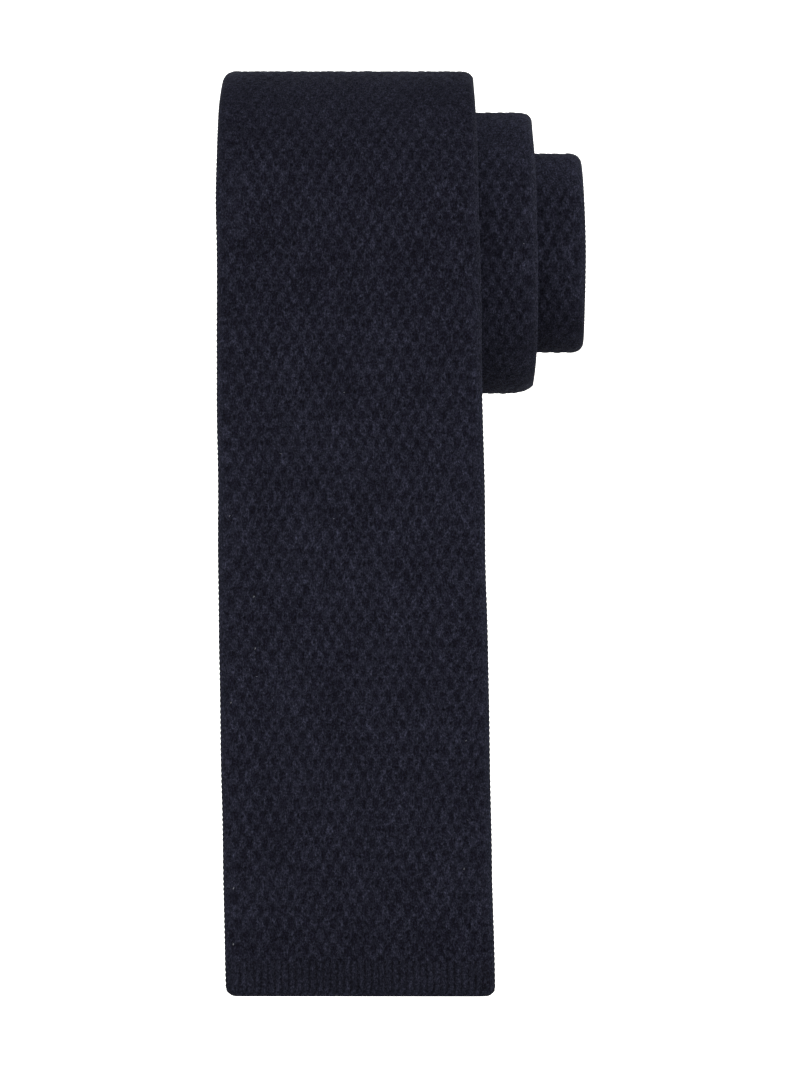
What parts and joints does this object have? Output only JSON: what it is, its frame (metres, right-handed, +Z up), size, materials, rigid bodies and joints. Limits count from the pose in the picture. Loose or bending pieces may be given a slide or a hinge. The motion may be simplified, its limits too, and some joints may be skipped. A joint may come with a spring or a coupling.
{
  "type": "knit tie",
  "caption": "Dark navy knit tie with a square tip, rolled round an open core that is pulled out sideways in steps, with its front blade hanging straight down.",
  "frame": {"origin": "middle of the roll's open core, on the roll's axis, level with the place where the blade leaves the roll and in the middle of the blade's width", "axes": "+X along the roll's axis towards its pulled-out end, +Y backwards away from the front of the blade, +Z up"},
  "size_m": [0.0828, 0.0817, 0.2092],
  "materials": {
    "body_knit": "matt dark navy wool knit in a staggered tuck stitch",
    "ribbed_knit": "matt dark navy wool knit in a fine plain rib"
  },
  "bodies": {
    "root": {"front_hem": "ribbed_knit", "front_blade": "body_knit", "neck_band": "body_knit", "tail_blade": "body_knit", "tail_hem": "ribbed_knit"}
  },
  "joints": []
}
